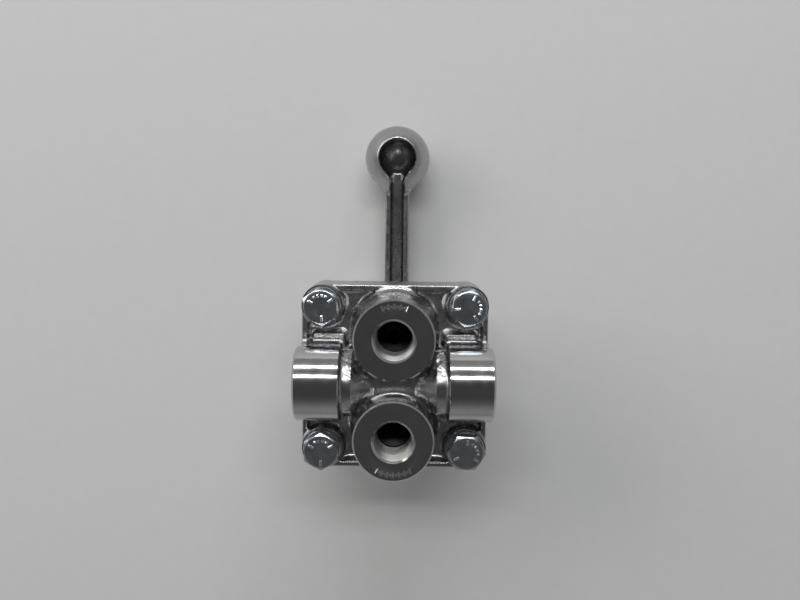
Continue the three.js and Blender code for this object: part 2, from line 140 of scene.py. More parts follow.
def skin(name, distance, low, high, voxel):
    """A closed mesh of the surface where distance is zero, inside the box from low to high."""
    low, high = np.array(low, float), np.array(high, float)
    axes = [np.arange(a, b + voxel, voxel) for a, b in zip(low, high)]
    grid = np.meshgrid(*axes, indexing="ij")
    volume = openvdb.FloatGrid(1.0)
    volume.copyFromArray(distance(*grid).astype(np.float32))
    points, quads = volume.convertToQuads(0.0)
    points = low + points.astype(float) * voxel
    for _ in range(3):  # Newton's steps onto the surface, each held to a part of a voxel
        value, slope = slope_of(distance, points, step=0.02)
        move = value[:, None] * slope / np.maximum((slope ** 2).sum(1), 0.3)[:, None]
        length = np.linalg.norm(move, axis=1, keepdims=True)
        points -= move * np.minimum(1, 0.4 * voxel / np.maximum(length, 1e-9))
    return mesh_object(name, points, quads)


# ---------------------------------------------------------------- meshes
def mesh_object(name, points, faces):
    """An object from points in millimetres."""
    mesh = bpy.data.meshes.new(name)
    mesh.from_pydata((np.asarray(points) * MM).tolist(), [], [list(map(int, f)) for f in faces])
    mesh.update()
    obj = bpy.data.objects.new(name, mesh)
    bpy.context.scene.collection.objects.link(obj)
    return obj


def loft(name, rings, closed=False):
    """A closed skin through rings of points, which either meet up again or are capped at both ends."""
    rings = np.asarray(rings, float)
    count, size = rings.shape[:2]
    faces = [
        [i * size + j, i * size + (j + 1) % size, k * size + (j + 1) % size, k * size + j]
        for i, k in ((i, (i + 1) % count) for i in range(count if closed else count - 1))
        for j in range(size)
    ]
    if not closed:
        faces += [list(range(size))[::-1], list(range((count - 1) * size, count * size))]
    return mesh_object(name, rings.reshape(-1, 3), faces)


def circle(r, z, segments=SEGMENTS, x=0, y=0):
    """A ring of points at height z."""
    turn = np.arange(segments) * 2 * math.pi / segments
    return np.stack([x + r * np.cos(turn), y + r * np.sin(turn), np.full(segments, float(z))], 1)


def turned(name, outline, segments=SEGMENTS, x=0, y=0):
    """A solid turned about Z, from radii and heights going upwards."""
    return loft(name, [circle(r, z, segments, x, y) for r, z in outline])


def hoop(name, section, segments=SEGMENTS, start=0.0, slant=0.0):
    """A ring about Z, from its closed section of radii and heights. One that starts past 0 is split there."""
    r, z = np.array(section, float).T
    count = segments + 1 if start else segments
    turn = np.linspace(start, 2 * math.pi - start, count, endpoint=bool(start))
    rings = [
        np.stack([r * np.cos(a + slant * z), r * np.sin(a + slant * z), z], 1)
        for a in turn
    ]
    return loft(name, rings, closed=not start)


def box_section(inner, outer, low, high, edge=0.15):
    """The section of a washer or bush with bevelled edges."""
    return [
        (inner, low + edge), (inner, high - edge), (inner + edge, high), (outer - edge, high),
        (outer, high - edge), (outer, low + edge), (outer - edge, low), (inner + edge, low),
    ]


def round_section(r, wire, z, count=16):
    """The section of a ring of round wire, where wire is the wire's radius."""
    turn = -np.arange(count) * 2 * math.pi / count
    return np.stack([r + wire * np.cos(turn), z + wire * np.sin(turn)], 1)


def coil(name, r, wire, low, high, turns):
    """A wire wound about Z, with its ends laid flat."""
    rings = []
    steps = int(turns * 40)
    flat = 0.3 / turns
    for i in range(steps + 1):
        share = i / steps
        rise = np.clip((share - flat) / (1 - 2 * flat), 0, 1)
        z = low + wire + (high - low - 2 * wire) * rise
        turn = 2 * math.pi * turns * share
        out = np.array([math.cos(turn), math.sin(turn), 0])
        ring = round_section(r, wire, z, 12)
        rings.append(np.outer(ring[:, 0], out) + np.outer(ring[:, 1], (0, 0, 1)))
    return loft(name, rings)


def square_ring(half, r, z):
    """A rounded square at height z."""
    turn = np.linspace(0, math.pi / 2, 12)
    corner = np.stack([half - r + r * np.cos(turn), half - r + r * np.sin(turn)], 1)
    quarters = ((1, 0), (0, 1), (-1, 0), (0, -1))
    plan = np.concatenate([corner @ np.array([[c, s], [-s, c]]) for c, s in quarters])
    return np.column_stack([plan, np.full(len(plan), float(z))])


def arc_slot(name, r, half_width, middle, half_turn, low, high):
    """An arc-shaped slot about Z."""
    turn = middle + np.linspace(-half_turn, half_turn, 40)
    way = np.stack([np.cos(turn), np.sin(turn)], 1)
    plan = np.concatenate([(r + half_width) * way, (r - half_width) * way[::-1]])
    return loft(name, [np.column_stack([plan, np.full(len(plan), float(z))]) for z in (low, high)])


def block(name, low, high):
    """A box between two corners."""
    (x0, y0, z0), (x1, y1, z1) = low, high
    return loft(name, [[(x0, y0, z), (x1, y0, z), (x1, y1, z), (x0, y1, z)] for z in (z0, z1)])


def ridge(name, middle, half_x, half_y, height, flip=1):
    """A stroke with sloping sides, standing up from z = 0, or sunk below it with flip = -1."""
    rings = []
    for grow, z in ((0.1, -height), (0, 0), (-0.3, height)):
        u, v = half_x + grow, max(half_y + grow, 0.08)
        ring = [(-u, -v), (u, -v), (u, v), (-u, v)]
        rings.append([(middle + a, b, flip * z) for a, b in ring])
    return loft(name, rings[::flip])


def threaded(name, root, crest, pitch, bottom, top, taper=0.0, segments=64):
    """A rod with a V thread. Radii are those at the top, and shrink by taper for each millimetre below it."""
    turns = round((top - bottom) / pitch)
    outline = [(0, root), (0.12, root), (0.5, crest), (0.62, crest)]  # shares of a pitch, and radii
    across, last = len(outline), turns * segments
    points, index = [], {}

    def point(k, m):
        if m == across and k + segments <= last:
            k, m = k + segments, 0
        if (k, m) not in index:
            share, r = outline[m] if m < across else (1, root)
            z = bottom + pitch * (k / segments + share)
            r += taper * (z - top)
            turn = 2 * math.pi * k / segments
            index[k, m] = len(points)
            points.append((r * math.cos(turn), r * math.sin(turn), z))
        return index[k, m]

    faces = [
        [point(k, m), point(k + 1, m), point(k + 1, m + 1), point(k, m + 1)]
        for k in range(last) for m in range(across)
    ]
    start = [point(k, 0) for k in range(segments + 1)] + [point(0, m) for m in range(across - 1, 0, -1)]
    end = [point(last - segments + k, across) for k in range(segments + 1)]
    end += [point(last, m) for m in range(across - 1, 0, -1)]
    for loop, z, flip in ((start, bottom + pitch / 2, True), (end, top + pitch / 2, False)):
        points.append((0, 0, z))
        for a, b in zip(loop, loop[1:] + loop[:1]):
            faces.append([b, a, len(points) - 1] if flip else [a, b, len(points) - 1])
    return mesh_object(name, points, faces)


def move(obj, matrix):
    """Moves an object's mesh by a matrix in millimetres."""
    shift = Matrix(matrix)
    shift.translation *= MM
    obj.data.transform(shift)
    return obj


def shifted(obj, y=0.0, z=0.0):
    return move(obj, Matrix.Translation((0, y, z)))


def at_side_port(obj, side):
    """Lays something made along +Z on a side port's axis, pointing outwards."""
    return move(obj, Matrix.Translation((0, 0, Z_SIDE)) @ Matrix.Rotation(side * math.pi / 2, 4, "Y"))


def drill(r, start, end):
    """A straight round hole's cutter between two points."""
    way = Vector(end) - Vector(start)
    tool = turned("drill", [(r, 0), (r, way.length)], DRILL_SEGMENTS)
    lean = Vector((0, 0, 1)).rotation_difference(way).to_matrix().to_4x4()
    return move(tool, Matrix.Translation(start) @ lean)


def combine(obj, tools, operation):
    """Joins, cuts or intersects obj with each tool, and removes the tools."""
    for tool in tools:
        change = obj.modifiers.new("combine", "BOOLEAN")
        change.operation = operation
        change.solver = "MANIFOLD"
        change.object = tool
    view = bpy.context.evaluated_depsgraph_get()
    mesh = bpy.data.meshes.new_from_object(obj.evaluated_get(view))
    obj.modifiers.clear()
    obj.data = mesh
    for tool in tools:
        bpy.data.objects.remove(tool)
    return obj


def join(obj, *tools):
    return combine(obj, tools, "UNION")


def cut(obj, *tools):
    return combine(obj, tools, "DIFFERENCE")


# ---------------------------------------------------------------- castings
INSET = 0.12  # how far the castings' rough sides stay inside their full size
PROUD = 0.08  # how far the turned faces stand proud of the casting around them
REACH = 33  # half width of the box that the square castings are found in
GRAIN, GRAIN_SIZE = 0.014, 4.0  # of the castings' rough skin
BEVEL = 2.4  # height of the bevel at the joint, which starts inside the casting and ends outside it


def square_plan(x, y):
    return rectangle(x, y, HALF - INSET, HALF - INSET, CORNER_R - INSET)


def from_screws(x, y):
    """Distance from the round pads that the cap screws stand on."""
    return np.hypot(np.abs(x) - SCREW_AT, np.abs(y) - SCREW_AT) - CORNER_R


def mould(joint, far):
    """What a casting is trimmed to: its outline, bevelled at the joint, as far as another height."""
    way = 1 if far > joint else -1
    rings = [
        square_ring(HALF + grow, CORNER_R + grow, z)
        for grow, z in ((-0.4, joint), (2, joint + way * BEVEL), (2, far))
    ]
    return loft("mould", rings[::way])


# ---------------------------------------------------------------- body casting
POCKET_WALL = 1.9  # wall left around the flange's pockets
SHELF_X, SHELF_HALF_X, SHELF_HALF_Y = 21.9, 5.3, 14.6  # where the pockets stop beside the collars
ROOT_R = 13.6  # and around the front ports
DRAFT, DRAFT_MOST, DRAFT_HEIGHT = 0.09, 1.3, 9  # how the front ports' roots widen below this height
WALL_X, WALL_HALF = 24.2, 6.6  # the wall under each collar
NECK_START, NECK_LENGTH, NECK_END = 6.5, 6.9, 24  # the cone from the middle to a side port
WEB_HALF, BRIDGE_HALF = 18, 7.5  # the metal under the neck, and that between the front ports
ROUGH_X, ROUGH_Y, ROUGH_SPREAD = 12.5, 7.5, 3.2  # patches where the casting is left rough
ROUGH_DEPTH, ROUGH_SIZE = 0.22, 2.4


def body_distance(x, y, z):
    ax, ay = np.abs(x), np.abs(y)
    from_front = np.hypot(x, ay - PORT_Y)
    from_side = np.hypot(y, z - Z_SIDE)
    plan = square_plan(x, y)
    pad = from_screws(x, y)
    flange = meet(plan, between(z, Z_JOINT - 4, Z_RIM), edge=0.55)
    shelf = rectangle(ax - SHELF_X, ay, SHELF_HALF_X, SHELF_HALF_Y, 1.4)
    pocket = plan + POCKET_WALL
    for kept in (pad, shelf, from_front - ROOT_R):
        pocket = carve(pocket, kept, edge=1.6)
    flange = carve(flange, meet(pocket, Z_FLOOR - z, edge=1.9), edge=0.7)
    pads = meet(pad + 0.1, between(z, Z_JOINT, Z_PAD + 0.3), edge=0.4)

    draft = np.clip((Z_RIM + DRAFT_HEIGHT - z) * DRAFT, 0, DRAFT_MOST)
    boss = meet(from_front - FRONT_R + PROUD - draft, between(z, Z_JOINT, Z_FACE - 1), edge=0.8)
    collar = meet(from_side - SIDE_R + PROUD, between(ax, COLLAR_X + 0.1, SIDE_FACE - 0.8), edge=0.4)
    wall = rectangle(ax - WALL_X, y, WALL_HALF, SIDE_R - 0.5, 0.8)
    wall = meet(wall, between(z, Z_JOINT, Z_SIDE), edge=0.5)

    rise = Z_BRIDGE - Z_SIDE  # the neck's radius between the front ports
    slope = np.clip((ax - NECK_START) / NECK_LENGTH, 0, 1)
    neck = from_side - rise - (NECK_R - rise) * slope
    neck = meet(neck * 0.8, ax - NECK_END, edge=0.5)
    web = meet(rectangle(x, y, WEB_HALF, NECK_R - 0.6, 2), between(z, Z_JOINT, Z_SIDE - 2), edge=1)
    bridge = meet(rectangle(x, y, BRIDGE_HALF, PORT_Y, 2), between(z, Z_JOINT, Z_BRIDGE), edge=1.2)
    middle = melt(melt(neck, web, fillet=2.5), bridge, fillet=2.5)

    flange = np.maximum(melt(flange, pads, fillet=0.8), plan)
    shape = melt(flange, melt(boss, middle, fillet=2.2), fillet=2.2)
    shape = melt(shape, melt(wall, collar, fillet=0.6), fillet=1.6)
    patch = np.exp(-((np.hypot(ax - ROUGH_X, ay - ROUGH_Y) / ROUGH_SPREAD) ** 2)) * (z > Z_RIM - 3)
    grain = GRAIN * waves(x, y, z, GRAIN_SIZE, seed=3)
    return shape + grain + ROUGH_DEPTH * patch * waves(x, y, z, ROUGH_SIZE, seed=4)


PIPE_PITCH = 25.4 / 18
PIPE_ROOT, PIPE_CREST = 5.93, 6.72
THREAD_TURNS = 10
PORT_DEPTH = 15
DRILL_R, TAPER_R, SINK_R = 2.3, 5.5, 6.95  # of a port's drilled end, its taper and its countersink
CROSS_R = 2.2  # the slanting passages
ROTOR_HOLES = 7.0  # the rotor's holes and the passages to them, from the axis
SCREW_HOLE_R, SPOTFACE_R = 3.4, 6.75


def port_cutter():
    """Thread, countersink and drilled end of a port whose face is at z = 0."""
    low = -THREAD_TURNS * PIPE_PITCH
    cutter = threaded("port", PIPE_ROOT, PIPE_CREST, PIPE_PITCH, low, PIPE_PITCH, taper=1 / 32)
    drilled = [(DRILL_R, -17), (DRILL_R, -16.2), (TAPER_R, -14.4), (5.9, -0.95), (SINK_R, 0.1), (SINK_R, 2.5)]
    return join(cutter, turned("drilled", drilled))


def passages():
    """The ways from the ports to the lapped seat."""
    below, end, across = Z_JOINT - 1, Z_FACE - PORT_DEPTH, SIDE_FACE - PORT_DEPTH
    tools = [
        drill(CROSS_R, (0, PORT_Y, end), (0, 0, Z_JOINT + 1)),
        drill(DRILL_R, (0, 0, Z_JOINT + 2.3), (0, 0, below)),
        drill(DRILL_R, (0, -PORT_Y, end), (0, -PORT_Y, below)),
    ]
    y = ROTOR_HOLES / math.sqrt(2)
    for x, start in ((-y, -across), (y, across)):
        tools.append(drill(DRILL_R, (x, y, Z_JOINT + 7.2), (x, y, below)))
        tools.append(drill(CROSS_R, (start, 0, Z_SIDE), (x, y, Z_JOINT + 6.2)))
    return tools


MARKS_R = 10.55
MARKS_TURN = 0.088  # from one mark to the next
MARK_LONG, MARK_SHORT, MARK_WIDTH, MARK_DEPTH = 0.95, 0.5, 0.3, 0.16  # half lengths, half width


def port_marks():
    """A row of plain sunk strokes on each port's face, where the real casting has lettering."""
    tools = []
    for side, count in ((1, 9), (-1, 13)):
        for i in range(count):
            turn = side * math.pi / 2 + (i - (count - 1) / 2) * MARKS_TURN
            half = MARK_SHORT if i % 2 else MARK_LONG
            stroke = ridge("stroke", MARKS_R, half, MARK_WIDTH, MARK_DEPTH, flip=-1)
            tools.append(shifted(move(stroke, Matrix.Rotation(turn, 4, "Z")), y=side * PORT_Y, z=Z_FACE))
    return tools


def turned_faces():
    """The turned parts of the four bosses, with their bevelled edges."""
    front = [(FRONT_R, Z_RIM + 9), (FRONT_R, Z_FACE - 0.45), (FRONT_R - 0.45, Z_FACE)]
    collar = [
        (SIDE_R - 0.3, COLLAR_X), (SIDE_R, COLLAR_X + 0.3),
        (SIDE_R, SIDE_FACE - 0.6), (SIDE_R - 0.6, SIDE_FACE),
    ]
    fronts = [turned("front", front, y=side * PORT_Y) for side in (-1, 1)]
    return fronts + [at_side_port(turned("collar", collar), side) for side in (-1, 1)]


def port_body():
    low, high = (-REACH, -REACH, Z_JOINT - 2), (REACH, REACH, Z_FACE + 1)
    body = join(skin("port_casting", body_distance, low, high, voxel=0.37), *turned_faces())
    combine(body, [mould(Z_JOINT, Z_FACE + 5)], "INTERSECT")
    tools = []
    for side in (-1, 1):
        tools.append(shifted(port_cutter(), y=side * PORT_Y, z=Z_FACE))
        tools.append(at_side_port(shifted(port_cutter(), z=SIDE_FACE), side))
        for along in (-1, 1):
            x, y = side * SCREW_AT, along * SCREW_AT
            hole = [(SCREW_HOLE_R, Z_JOINT - 3), (SCREW_HOLE_R, Z_PAD + 3)]
            spotface = [(SPOTFACE_R, Z_PAD), (SPOTFACE_R, Z_PAD + 3)]
            tools.append(turned("hole", hole, MEDIUM_SEGMENTS, x, y))
            tools.append(turned("spotface", spotface, SEGMENTS, x, y))
    return cut(body, *tools, *passages(), *port_marks())


# ---------------------------------------------------------------- lever
HUB_R, HUB_TOP = 14.45, 14.0
RECESS_R, RECESS_FLOOR = 8.4, 6.8  # for the lever's screw, in the underside of its hub
SHANK_HALF = 4.4  # the stem's square end
TRACK_R = 11.3  # circle that the detent ball runs on
STOP_R = 11.0  # circle that the stop pin runs on
THROW = math.pi / 4  # the lever's travel each way
KNOB_Y = 74.2
KNOB_R = LEVER_TIP - KNOB_Y
KNOB_Z = KNOB_R + 0.05
CUP_R = 6.55  # the knob's cored hollow
ARM_HALF, ARM_NARROWING = 4.62, 0.55
ARM_LOW, ARM_RISE = 1.2, 3.2  # underside at the hub, and its rise towards the knob
ARM_HIGH, ARM_LIFT = 12.4, 0.6  # the same for the top
SLOT_HALF, SLOT_NARROWING, SLOT_FLOOR = 2.55, 0.2, 2.4
LEVER_GRAIN, LEVER_GRAIN_SIZE = 0.006, 5.0


def lever_distance(x, y, z):
    along = np.clip(y / KNOB_Y, 0, 1)
    half = ARM_HALF - ARM_NARROWING * along
    low, high = ARM_LOW + ARM_RISE * along, ARM_HIGH + ARM_LIFT * along
    arm = meet(np.abs(x) - half - (high - z) * 0.03, between(z, low, high), edge=0.7)
    arm = meet(arm, between(y, 0, KNOB_Y), edge=0.1)
    hub = meet(np.hypot(x, y) - HUB_R, between(z, -3, HUB_TOP + 3), edge=0.5)
    knob = np.sqrt(x ** 2 + (y - KNOB_Y) ** 2 + (z - KNOB_Z) ** 2) - KNOB_R + 0.03
    shape = melt(melt(hub, arm, fillet=2.5), knob, fillet=4.0)

    slot = meet(np.abs(x) - (SLOT_HALF - SLOT_NARROWING * along), low + SLOT_FLOOR - z, edge=1.3)
    slot = meet(slot, between(y, 14.5, KNOB_Y), edge=2.0)
    radial, above = np.hypot(x, y - KNOB_Y), z - KNOB_Z + 1
    cup = np.where(above > 0, radial, np.hypot(radial, above)) - CUP_R
    hollow = melt(slot, cup, fillet=np.clip(z - 6.5, 0.5, 3.2))
    return carve(shape, hollow, edge=0.5) + LEVER_GRAIN * waves(x, y, z, LEVER_GRAIN_SIZE, seed=8)


def lever():
    obj = skin("lever_casting", lever_distance, (-16, -16, -1.5), (16, 87.5, 25), voxel=0.32)
    hub_faces = block("faces", (-40, -40, 0), (40, 110, HUB_TOP))
    knob_space = block("knob", (-40, 20, -5), (40, 110, 40))
    combine(obj, [join(hub_faces, knob_space)], "INTERSECT")
    square = SHANK_HALF + 0.1
    tools = [
        turned("recess", [(RECESS_R, -2), (RECESS_R, RECESS_FLOOR)]),
        block("square", (-square, -square, 5), (square, square, HUB_TOP + 2)),
        turned("pin_hole", [(1.6, HUB_TOP - 4.75), (1.6, HUB_TOP + 1)], SMALL_SEGMENTS, 0, -STOP_R),
        arc_slot("track", TRACK_R, 2.5, math.pi / 2, THROW + 0.22, HUB_TOP - 0.9, HUB_TOP + 1),
    ]
    for turn in (-THROW, 0, THROW):
        x, y = -TRACK_R * math.sin(turn), TRACK_R * math.cos(turn)
        tools.append(turned("dimple", [(0.4, HUB_TOP - 2), (2.3, HUB_TOP - 0.7)], SMALL_SEGMENTS, x, y))
    return cut(obj, *tools)


# ---------------------------------------------------------------- cover
COVER_TOP = COVER_HIGH[2]
DOME_R, DOME_LOW, DOME_SLOPE = 21.5, 21, 0.2
TOWER_R, TOWER_MIDDLE, TOWER_SLOPE = 15, 14.6, 0.16
RIB_HALF, RIB_LOW, RIB_HIGH, RIB_REACH = 1.9, 27.2, 33, 32
BUSH_R = 7.95
SHAFT_R = 6.45
CHAMBER_R = 18.5


def cover_distance(x, y, z):
    plan = square_plan(x, y)
    flange = meet(plan, between(z, COVER_TOP - 6, COVER_TOP + 4), edge=0.8)
    pads = meet(from_screws(x, y) + 0.1, between(z, COVER_TOP - 8.6, COVER_TOP), edge=0.7)
    flange = np.maximum(melt(flange, pads, fillet=1.6), plan)
    r = np.hypot(x, y)
    dome = meet(r - DOME_R - (z - DOME_LOW) * DOME_SLOPE, between(z, DOME_LOW, COVER_TOP), edge=2.2)
    tower = meet(r - TOWER_R - (z - TOWER_MIDDLE) * TOWER_SLOPE, between(z, 10, COVER_TOP), edge=0.5)
    off_diagonal = np.abs(np.abs(x) - np.abs(y)) / math.sqrt(2)
    rib = np.maximum(off_diagonal - RIB_HALF, np.maximum(RIB_LOW - z, r - RIB_REACH))
    rib = meet(rib, z - RIB_HIGH, edge=0.5)
    shape = melt(flange, melt(dome, tower, fillet=2.5), fillet=2.2)
    return melt(shape, rib, fillet=1.8) + GRAIN * waves(x, y, z, GRAIN_SIZE, seed=5)


def cover():
    low = COVER_LOW[2]
    box = (-REACH, -REACH, 8), (REACH, REACH, COVER_TOP + 2)
    obj = skin("cover_casting", cover_distance, *box, voxel=0.5)
    combine(obj, [mould(COVER_TOP, low)], "INTERSECT")
    groove = box_section(inner=19.85, outer=22.55, low=COVER_TOP - 1.8, high=COVER_TOP + 1, edge=0.1)
    tools = [
        turned("chamber", [(CHAMBER_R, 23.5), (CHAMBER_R, COVER_TOP + 2)]),
        turned("bore", [(BUSH_R, 10), (BUSH_R, 20.15), (SHAFT_R, 20.15), (SHAFT_R, 24)]),
        arc_slot("stop", STOP_R, 1.85, -math.pi / 2, THROW + 0.16, low - 1, low + 2.8),
        turned("detent", [(2.55, low - 1), (2.55, 22.2)], SMALL_SEGMENTS, 0, TRACK_R),
        hoop("groove", groove),
    ]
    for x in (-SCREW_AT, SCREW_AT):
        for y in (-SCREW_AT, SCREW_AT):
            tools.append(turned("hole", [(3.3, 20), (3.3, COVER_TOP + 2)], MEDIUM_SEGMENTS, x, y))
    return cut(obj, *tools)


# ---------------------------------------------------------------- stem, rotor and small pieces
STEM_OUTLINE = [
    (6.05, 14.3), (6.35, 14.6), (6.35, 20.6), (5, 20.6), (5, 22.8), (6.35, 22.8), (6.35, 24.4),
    (12, 24.4), (12.2, 24.6), (12.2, 26.8), (12, 27),
]
TAPPED_OUTLINE = [(3.9, 6), (3.9, 7.2), (3.3, 7.8), (3.3, 20.1)]


def stem():
    obj = turned("stem", STEM_OUTLINE)
    shank = block("shank", (-SHANK_HALF, -SHANK_HALF, 7.2), (SHANK_HALF, SHANK_HALF, 14.6))
    tang = block("tang", (-2.5, -6.5, 26.5), (2.5, 6.5, 34))
    join(obj, shank, tang)
    return cut(obj, turned("tapped", TAPPED_OUTLINE, MEDIUM_SEGMENTS))


def rotor_disc():
    """The disc, with a slot for the tang below, and a hollow and two holes in the lapped face above."""
    low, high = span("rotor_disc")
    bottom, top = low[2], high[2]
    obj = turned("rotor", [(12.7, bottom), (13, bottom + 0.3), (13, top - 0.2), (12.8, top)])
    slot = block("slot", (-2.65, -6.8, bottom - 1), (2.65, 6.8, 34.3))
    seat = hoop("seat", box_section(inner=10.2, outer=11.8, low=bottom - 1, high=bottom + 1.5))
    hollow = [(DRILL_R, top - 1.2), (DRILL_R, top + 1)]
    hole = [(DRILL_R, bottom - 1), (DRILL_R, top + 1)]
    cavity = turned("cavity", hollow, SMALL_SEGMENTS)
    join(cavity, block("link", (-DRILL_R, 0, top - 1.2), (DRILL_R, ROTOR_HOLES, top + 1)))
    join(cavity, turned("far", hollow, SMALL_SEGMENTS, 0, ROTOR_HOLES))
    holes = [turned("way", hole, SMALL_SEGMENTS, side * ROTOR_HOLES) for side in (-1, 1)]
    return cut(obj, slot, seat, cavity, *holes)


def ball(name, r, y, z):
    turn = np.linspace(0.02, math.pi - 0.02, 33)
    return turned(name, [(r * math.sin(a), z - r * math.cos(a)) for a in turn], MEDIUM_SEGMENTS, y=y)


# ---------------------------------------------------------------- fasteners
AF = 11.11  # across the flats of a quarter-inch screw's head
HEAD = 4.0
MARK = 0.2  # height of the marks forged on a head
SCREW_PITCH = 1.27
SCREW_ROOT, SCREW_CREST = 2.45, 3.1
UNDER_HEAD = 0.3  # thickness of the round face under the head
CHAMFER = math.radians(28)
CHAMFER_R = 5.35
MARKS_OUT = 3.75
GRADE_MARKS = [(turn, 0.95) for turn in (-90, 30, 150)]  # degrees and half lengths
DASHES = [(turn, 0.45) for turn in (60, 80, 100, 120)]
LOCK_WASHER = 1.6
PLAIN_WASHER = 1.2


def cap_screw(name, length, mark_turn):
    """A quarter-inch hex screw along -Z, with the underside of its head at z = 0."""
    corner = AF / math.sqrt(3)
    top = HEAD - MARK
    obj = loft(name, [circle(corner, z, 6) for z in (UNDER_HEAD, top)])
    move(obj, Matrix.Rotation(math.pi / 6, 4, "Z"))
    wide = corner + 0.3
    drop = (wide - 5.25) * math.tan(CHAMFER)
    chamfer = turned("chamfer", [(wide, -1), (wide, top - drop), (CHAMFER_R, top - 0.07), (5.1, top)])
    combine(obj, [chamfer], "INTERSECT")

    end = UNDER_HEAD - SCREW_PITCH * math.ceil(length / SCREW_PITCH + 1)
    shank = threaded("shank", SCREW_ROOT, SCREW_CREST, SCREW_PITCH, end, UNDER_HEAD, segments=48)
    tip = turned("tip", [(2.2, -length), (3.2, 1 - length), (3.2, 2)])
    combine(shank, [tip], "INTERSECT")
    tools = [shank, turned("face", [(5.2, 0), (5.2, 2 * UNDER_HEAD)])]
    for turn, half in GRADE_MARKS + DASHES:
        stroke = shifted(ridge("stroke", MARKS_OUT, half, 0.42, MARK), z=top)
        tools.append(move(stroke, Matrix.Rotation(math.radians(turn) + mark_turn, 4, "Z")))
    return join(obj, *tools)


def split_washer():
    """A helical spring lock washer, pressed flat, with its slanted split."""
    section = box_section(inner=3.35, outer=6.2, low=0, high=LOCK_WASHER, edge=0.18)
    return hoop("washer", section, segments=72, start=0.075, slant=0.13)


# ---------------------------------------------------------------- materials
def shader(name, color, rough, metal, grain=1500, depth=0.01, spread=0.06, shade=0.1):
    """A surface with a fine grain of the given depth in millimetres, and patches of other gloss and shade."""
    material = bpy.data.materials.new(name)
    material.use_nodes = True
    nodes, links = material.node_tree.nodes, material.node_tree.links
    surface = nodes["Principled BSDF"]
    surface.inputs["Metallic"].default_value = metal
    place = nodes.new("ShaderNodeTexCoord")

    def noise(scale, detail):
        """A noise of so many patches to a metre."""
        node = nodes.new("ShaderNodeTexNoise")
        node.inputs["Scale"].default_value = scale
        node.inputs["Detail"].default_value = detail
        links.new(place.outputs["Object"], node.inputs["Vector"])
        return node.outputs["Fac"]

    def mapped(value, low, high):
        """Most of a noise's range, stretched from low to high."""
        node = nodes.new("ShaderNodeMapRange")
        node.inputs["From Min"].default_value = 0.3
        node.inputs["From Max"].default_value = 0.7
        node.inputs["To Min"].default_value = low
        node.inputs["To Max"].default_value = high
        links.new(value, node.inputs["Value"])
        return node.outputs["Result"]

    gloss = mapped(noise(350, 4), rough - spread, rough + spread)
    links.new(gloss, surface.inputs["Roughness"])
    tint = nodes.new("ShaderNodeMix")
    tint.data_type = "RGBA"
    tint.inputs["A"].default_value = (*(c * (1 - shade) for c in color), 1)
    tint.inputs["B"].default_value = (*color, 1)
    links.new(mapped(noise(180, 6), 0, 1), tint.inputs["Factor"])
    links.new(tint.outputs["Result"], surface.inputs["Base Color"])
    bump = nodes.new("ShaderNodeBump")
    bump.inputs["Strength"].default_value = 1
    bump.inputs["Distance"].default_value = depth * MM
    links.new(noise(grain, 3), bump.inputs["Height"])
    links.new(bump.outputs["Normal"], surface.inputs["Normal"])
    return material


CAST = shader(
    "cast_aluminium", (0.46, 0.45, 0.455), rough=0.28, metal=1,
    grain=1100, depth=0.006, spread=0.05, shade=0.12,
)
TURNED = shader(
    "turned_aluminium", (0.56, 0.55, 0.55), rough=0.14, metal=1,
    grain=2200, depth=0.004, spread=0.03, shade=0.1,
)
# painted shade: the tapped threads are rougher, and their colour is painted darker than the casting's as
# shade inside the bores
TAPPED_SHADED = shader("tapped_shaded_aluminium", (0.34, 0.335, 0.32), rough=0.42, metal=1, grain=1800, depth=0.01)
# painted shade: a near-black colour standing in for the shade deep in the bores and passages
PAINTED_SHADE = shader("painted_shade_aluminium", (0.035, 0.032, 0.028), rough=0.4, metal=1)
ZINC = shader(
    "zinc_plate", (0.62, 0.67, 0.72), rough=0.23, metal=1,
    grain=1600, depth=0.006, spread=0.06, shade=0.15,
)
STEEL = shader("steel", (0.5, 0.5, 0.5), rough=0.28, metal=1)
BRONZE = shader("bronze", (0.55, 0.36, 0.16), rough=0.4, metal=1)
RUBBER = shader("rubber", (0.02, 0.02, 0.02), rough=0.6, metal=0)
NYLON = shader("nylon", (0.75, 0.72, 0.63), rough=0.5, metal=0)
FLOOR = shader(
    "floor", (0.76, 0.755, 0.75), rough=0.75, metal=0,
    grain=60, depth=0.05, spread=0.02, shade=0.02,
)


def face_table(mesh):
    """The faces' centres in millimetres, and their normals."""
    centre = np.empty(len(mesh.polygons) * 3)
    normal = np.empty(len(mesh.polygons) * 3)
    mesh.polygons.foreach_get("center", centre)
    mesh.polygons.foreach_get("normal", normal)
    return centre.reshape(-1, 3).T / MM, normal.reshape(-1, 3).T


